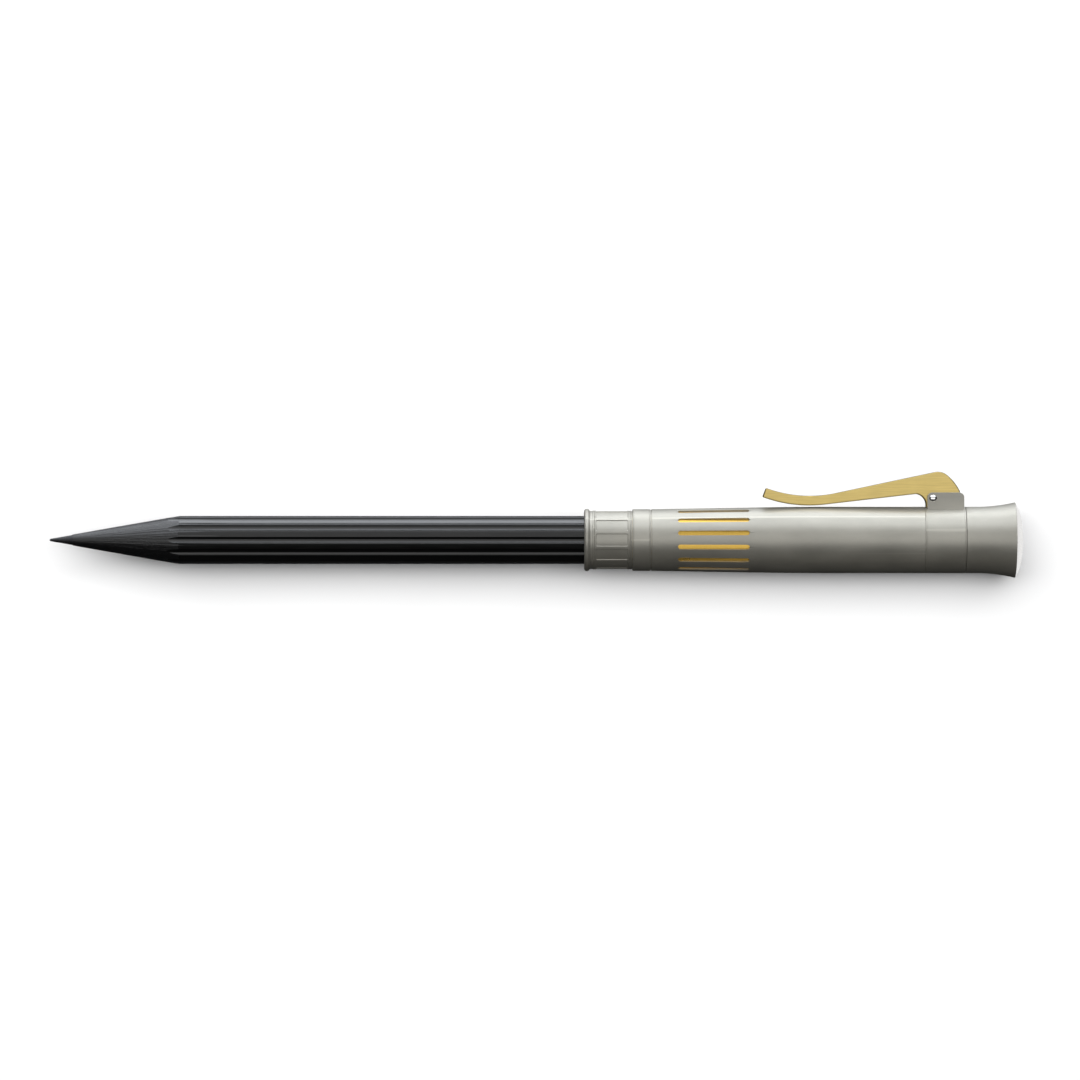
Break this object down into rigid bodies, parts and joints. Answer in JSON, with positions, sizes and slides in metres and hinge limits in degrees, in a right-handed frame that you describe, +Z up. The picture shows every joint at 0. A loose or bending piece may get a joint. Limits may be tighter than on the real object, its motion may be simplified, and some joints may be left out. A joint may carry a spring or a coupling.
{
  "type": "pencil extender",
  "caption": "Pencil extender: a metal holder with a slotted barrel, sprung clip and pull-out sharpener crown gripping a fluted wooden pencil.",
  "frame": {"origin": "the pencil's writing point, on the axis", "axes": "+X along the axis from the writing point to the crown, +Y towards the clip, +Z up from the surface that it lies on"},
  "size_m": [0.1585, 0.0172, 0.0122],
  "materials": {
    "grey_coating": "satin",
    "gold_plate": "satin",
    "black_wood": "satin",
    "graphite": "matte",
    "steel": "brushed",
    "polished_metal": "polished",
    "spring_steel": "satin",
    "magnesium": "machined",
    "black_rubber": "matte",
    "insert_plastic": "matte"
  },
  "bodies": {
    "holder": {"front_collar": "grey_coating", "grip_insert": "insert_plastic", "plain_ring": "grey_coating", "barrel": "grey_coating", "inner_tube": "gold_plate", "clip_band": "grey_coating", "clip_pin": "polished_metal", "clip_spring": "spring_steel"},
    "clip": {"clip": "gold_plate"},
    "pencil": {"pencil_casing": "black_wood", "pencil_lead": "graphite", "ferrule": "steel", "eraser": "black_rubber"},
    "eraser_cap": {"eraser_cap": "polished_metal"},
    "crown": {"crown": "grey_coating", "crown_disc": "polished_metal", "sharpener_carrier": "steel", "spigot_o_ring": "black_rubber", "sharpener_body": "magnesium", "sharpener_blade": "steel", "blade_screw": "steel"}
  },
  "joints": [
    {"name": "clip_hinge", "type": "hinge", "parent": "holder", "child": "clip", "pos_m": [0.14385, 0.00673, 0], "axis": [0, 0, -1], "range_deg": [0, 11], "stiffness_Nm_per_rad": 0.3, "springref_deg": -5.73, "deforming": ["clip_spring"]},
    {"name": "pencil_slide", "type": "slide", "parent": "holder", "child": "pencil", "axis": [-1, 0, 0], "range_m": [0, 0.036]},
    {"name": "eraser_cap_slide", "type": "slide", "parent": "pencil", "child": "eraser_cap", "axis": [1, 0, 0], "range_m": [0, 0.005]},
    {"name": "crown_slide", "type": "slide", "parent": "holder", "child": "crown", "axis": [1, 0, 0], "range_m": [0, 0.028]}
  ]
}
